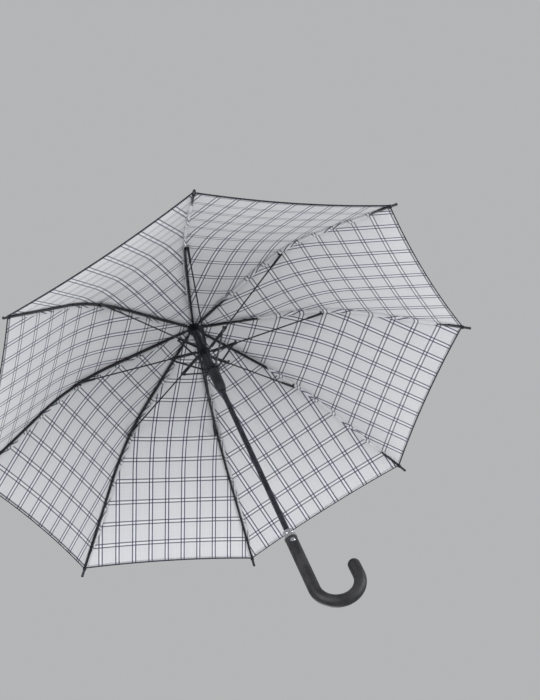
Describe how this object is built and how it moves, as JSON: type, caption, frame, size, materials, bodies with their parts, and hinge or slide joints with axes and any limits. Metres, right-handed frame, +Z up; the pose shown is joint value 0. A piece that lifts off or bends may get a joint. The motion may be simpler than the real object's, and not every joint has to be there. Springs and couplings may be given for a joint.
{
  "type": "stick umbrella",
  "caption": "Automatic stick umbrella with a checked canopy on folding ribs, sliding runners, crook handle and release button.",
  "frame": {"origin": "middle of the straight grip, on the shaft axis", "axes": "+Z up the shaft to the ferrule, the crook opens towards +X"},
  "size_m": [1.0724, 1.0724, 0.8507],
  "materials": {
    "black_steel": "black enamel, semi-gloss",
    "frame_steel": "black enamel, semi-gloss",
    "black_plastic": "moulded, satin",
    "spring_steel": "oiled wire",
    "bright_wire": "drawn wire",
    "handle_black": "soft-touch",
    "collar_metal": "polished",
    "button_metal": "satin",
    "canopy_fabric": "light grey woven polyester with a dark blue double-line check"
  },
  "bodies": {
    "handle_and_shaft": {"shaft": "black_steel", "ferrule": "black_plastic", "crown_cap": "black_plastic", "top_notch": "black_plastic", "notch_wire": "bright_wire", "buffer_spring": "spring_steel", "catch_spring": "spring_steel", "crook_handle": "handle_black", "grip_collar": "collar_metal", "button_spring": "spring_steel"},
    "button": {"release_button": "button_metal"},
    "lower_hub": {"lower_runner": "black_plastic", "lower_wire": "bright_wire"},
    "upper_hub": {"upper_runner": "black_plastic", "upper_wire": "bright_wire", "opening_spring": "spring_steel"},
    "rib_arm_1": {"rib_1": "frame_steel", "rib_tip_1": "black_plastic", "canopy_panel_1": "canopy_fabric"},
    "rib_arm_2": {"rib_2": "frame_steel", "rib_tip_2": "black_plastic", "canopy_panel_2": "canopy_fabric"},
    "rib_arm_3": {"rib_3": "frame_steel", "rib_tip_3": "black_plastic", "canopy_panel_3": "canopy_fabric"},
    "rib_arm_4": {"rib_4": "frame_steel", "rib_tip_4": "black_plastic", "canopy_panel_4": "canopy_fabric"},
    "rib_arm_5": {"rib_5": "frame_steel", "rib_tip_5": "black_plastic", "canopy_panel_5": "canopy_fabric"},
    "rib_arm_6": {"rib_6": "frame_steel", "rib_tip_6": "black_plastic", "canopy_panel_6": "canopy_fabric"},
    "rib_arm_7": {"rib_7": "frame_steel", "rib_tip_7": "black_plastic", "canopy_panel_7": "canopy_fabric"},
    "rib_arm_8": {"rib_8": "frame_steel", "rib_tip_8": "black_plastic", "canopy_panel_8": "canopy_fabric"},
    "stretcher_arm_1": {"stretcher_1": "frame_steel"},
    "stretcher_arm_2": {"stretcher_2": "frame_steel"},
    "stretcher_arm_3": {"stretcher_3": "frame_steel"},
    "stretcher_arm_4": {"stretcher_4": "frame_steel"},
    "stretcher_arm_5": {"stretcher_5": "frame_steel"},
    "stretcher_arm_6": {"stretcher_6": "frame_steel"},
    "stretcher_arm_7": {"stretcher_7": "frame_steel"},
    "stretcher_arm_8": {"stretcher_8": "frame_steel"},
    "push_arm_1": {"push_rod_1": "frame_steel"},
    "push_arm_2": {"push_rod_2": "frame_steel"},
    "push_arm_3": {"push_rod_3": "frame_steel"},
    "push_arm_4": {"push_rod_4": "frame_steel"},
    "push_arm_5": {"push_rod_5": "frame_steel"},
    "push_arm_6": {"push_rod_6": "frame_steel"},
    "push_arm_7": {"push_rod_7": "frame_steel"},
    "push_arm_8": {"push_rod_8": "frame_steel"}
  },
  "joints": [
    {"name": "close", "type": "slide", "parent": "handle_and_shaft", "child": "lower_hub", "axis": [0, 0, -1], "range_m": [0, 0.39116], "stiffness_N_per_m": 60, "springref_m": -0.35, "deforming": ["opening_spring"]},
    {"name": "upper_runner_slide", "type": "slide", "parent": "handle_and_shaft", "child": "upper_hub", "axis": [0, 0, -1], "range_m": [-0.002, 0.42464]},
    {"name": "button_press", "type": "slide", "parent": "handle_and_shaft", "child": "button", "axis": [0, 1, 0], "range_m": [0, 0.0025], "stiffness_N_per_m": 1200, "springref_m": -0.001, "deforming": ["button_spring"]},
    {"name": "rib_1_fold", "type": "hinge", "parent": "handle_and_shaft", "child": "rib_arm_1", "pos_m": [0, -0.012, 0.68004], "axis": [1, 0, 0], "range_deg": [-0.5, 61], "deforming": ["canopy_panel_1"]},
    {"name": "stretcher_1_swing", "type": "hinge", "parent": "upper_hub", "child": "stretcher_arm_1", "pos_m": [0, -0.0102, 0.6015], "axis": [-1, 0, 0], "range_deg": [-0.5, 71.21]},
    {"name": "push_rod_1_swing", "type": "hinge", "parent": "lower_hub", "child": "push_arm_1", "pos_m": [0, -0.0102, 0.5435], "axis": [-1, 0, 0], "range_deg": [-0.5, 33.53]},
    {"name": "rib_2_fold", "type": "hinge", "parent": "handle_and_shaft", "child": "rib_arm_2", "pos_m": [0.00848, -0.00848, 0.68004], "axis": [0.7071, 0.7071, 0], "range_deg": [-0.5, 61], "deforming": ["canopy_panel_2"]},
    {"name": "stretcher_2_swing", "type": "hinge", "parent": "upper_hub", "child": "stretcher_arm_2", "pos_m": [0.00721, -0.00721, 0.6015], "axis": [-0.7071, -0.7071, 0], "range_deg": [-0.5, 71.21]},
    {"name": "push_rod_2_swing", "type": "hinge", "parent": "lower_hub", "child": "push_arm_2", "pos_m": [0.00721, -0.00721, 0.5435], "axis": [-0.7071, -0.7071, 0], "range_deg": [-0.5, 33.53]},
    {"name": "rib_3_fold", "type": "hinge", "parent": "handle_and_shaft", "child": "rib_arm_3", "pos_m": [0.012, 0, 0.68004], "axis": [0, 1, 0], "range_deg": [-0.5, 61], "deforming": ["canopy_panel_3"]},
    {"name": "stretcher_3_swing", "type": "hinge", "parent": "upper_hub", "child": "stretcher_arm_3", "pos_m": [0.0102, 0, 0.6015], "axis": [0, -1, 0], "range_deg": [-0.5, 71.21]},
    {"name": "push_rod_3_swing", "type": "hinge", "parent": "lower_hub", "child": "push_arm_3", "pos_m": [0.0102, 0, 0.5435], "axis": [0, -1, 0], "range_deg": [-0.5, 33.53]},
    {"name": "rib_4_fold", "type": "hinge", "parent": "handle_and_shaft", "child": "rib_arm_4", "pos_m": [0.00848, 0.00848, 0.68004], "axis": [-0.7071, 0.7071, 0], "range_deg": [-0.5, 61], "deforming": ["canopy_panel_4"]},
    {"name": "stretcher_4_swing", "type": "hinge", "parent": "upper_hub", "child": "stretcher_arm_4", "pos_m": [0.00721, 0.00721, 0.6015], "axis": [0.7071, -0.7071, 0], "range_deg": [-0.5, 71.21]},
    {"name": "push_rod_4_swing", "type": "hinge", "parent": "lower_hub", "child": "push_arm_4", "pos_m": [0.00721, 0.00721, 0.5435], "axis": [0.7071, -0.7071, 0], "range_deg": [-0.5, 33.53]},
    {"name": "rib_5_fold", "type": "hinge", "parent": "handle_and_shaft", "child": "rib_arm_5", "pos_m": [0, 0.012, 0.68004], "axis": [-1, 0, 0], "range_deg": [-0.5, 61], "deforming": ["canopy_panel_5"]},
    {"name": "stretcher_5_swing", "type": "hinge", "parent": "upper_hub", "child": "stretcher_arm_5", "pos_m": [0, 0.0102, 0.6015], "axis": [1, 0, 0], "range_deg": [-0.5, 71.21]},
    {"name": "push_rod_5_swing", "type": "hinge", "parent": "lower_hub", "child": "push_arm_5", "pos_m": [0, 0.0102, 0.5435], "axis": [1, 0, 0], "range_deg": [-0.5, 33.53]},
    {"name": "rib_6_fold", "type": "hinge", "parent": "handle_and_shaft", "child": "rib_arm_6", "pos_m": [-0.00848, 0.00848, 0.68004], "axis": [-0.7071, -0.7071, 0], "range_deg": [-0.5, 61], "deforming": ["canopy_panel_6"]},
    {"name": "stretcher_6_swing", "type": "hinge", "parent": "upper_hub", "child": "stretcher_arm_6", "pos_m": [-0.00721, 0.00721, 0.6015], "axis": [0.7071, 0.7071, 0], "range_deg": [-0.5, 71.21]},
    {"name": "push_rod_6_swing", "type": "hinge", "parent": "lower_hub", "child": "push_arm_6", "pos_m": [-0.00721, 0.00721, 0.5435], "axis": [0.7071, 0.7071, 0], "range_deg": [-0.5, 33.53]},
    {"name": "rib_7_fold", "type": "hinge", "parent": "handle_and_shaft", "child": "rib_arm_7", "pos_m": [-0.012, 0, 0.68004], "axis": [0, -1, 0], "range_deg": [-0.5, 61], "deforming": ["canopy_panel_7"]},
    {"name": "stretcher_7_swing", "type": "hinge", "parent": "upper_hub", "child": "stretcher_arm_7", "pos_m": [-0.0102, 0, 0.6015], "axis": [0, 1, 0], "range_deg": [-0.5, 71.21]},
    {"name": "push_rod_7_swing", "type": "hinge", "parent": "lower_hub", "child": "push_arm_7", "pos_m": [-0.0102, 0, 0.5435], "axis": [0, 1, 0], "range_deg": [-0.5, 33.53]},
    {"name": "rib_8_fold", "type": "hinge", "parent": "handle_and_shaft", "child": "rib_arm_8", "pos_m": [-0.00848, -0.00848, 0.68004], "axis": [0.7071, -0.7071, 0], "range_deg": [-0.5, 61], "deforming": ["canopy_panel_8"]},
    {"name": "stretcher_8_swing", "type": "hinge", "parent": "upper_hub", "child": "stretcher_arm_8", "pos_m": [-0.00721, -0.00721, 0.6015], "axis": [-0.7071, 0.7071, 0], "range_deg": [-0.5, 71.21]},
    {"name": "push_rod_8_swing", "type": "hinge", "parent": "lower_hub", "child": "push_arm_8", "pos_m": [-0.00721, -0.00721, 0.5435], "axis": [-0.7071, 0.7071, 0], "range_deg": [-0.5, 33.53]}
  ],
  "couplings": [
    {"joint": "upper_runner_slide", "follows": "close", "ratio": 1.0805},
    {"joint": "rib_1_fold", "follows": "close", "rad_per_m": 2.6995},
    {"joint": "stretcher_1_swing", "follows": "close", "rad_per_m": 3.1552},
    {"joint": "push_rod_1_swing", "follows": "close", "rad_per_m": 1.4738},
    {"joint": "rib_2_fold", "follows": "close", "rad_per_m": 2.6995},
    {"joint": "stretcher_2_swing", "follows": "close", "rad_per_m": 3.1552},
    {"joint": "push_rod_2_swing", "follows": "close", "rad_per_m": 1.4738},
    {"joint": "rib_3_fold", "follows": "close", "rad_per_m": 2.6995},
    {"joint": "stretcher_3_swing", "follows": "close", "rad_per_m": 3.1552},
    {"joint": "push_rod_3_swing", "follows": "close", "rad_per_m": 1.4738},
    {"joint": "rib_4_fold", "follows": "close", "rad_per_m": 2.6995},
    {"joint": "stretcher_4_swing", "follows": "close", "rad_per_m": 3.1552},
    {"joint": "push_rod_4_swing", "follows": "close", "rad_per_m": 1.4738},
    {"joint": "rib_5_fold", "follows": "close", "rad_per_m": 2.6995},
    {"joint": "stretcher_5_swing", "follows": "close", "rad_per_m": 3.1552},
    {"joint": "push_rod_5_swing", "follows": "close", "rad_per_m": 1.4738},
    {"joint": "rib_6_fold", "follows": "close", "rad_per_m": 2.6995},
    {"joint": "stretcher_6_swing", "follows": "close", "rad_per_m": 3.1552},
    {"joint": "push_rod_6_swing", "follows": "close", "rad_per_m": 1.4738},
    {"joint": "rib_7_fold", "follows": "close", "rad_per_m": 2.6995},
    {"joint": "stretcher_7_swing", "follows": "close", "rad_per_m": 3.1552},
    {"joint": "push_rod_7_swing", "follows": "close", "rad_per_m": 1.4738},
    {"joint": "rib_8_fold", "follows": "close", "rad_per_m": 2.6995},
    {"joint": "stretcher_8_swing", "follows": "close", "rad_per_m": 3.1552},
    {"joint": "push_rod_8_swing", "follows": "close", "rad_per_m": 1.4738}
  ]
}
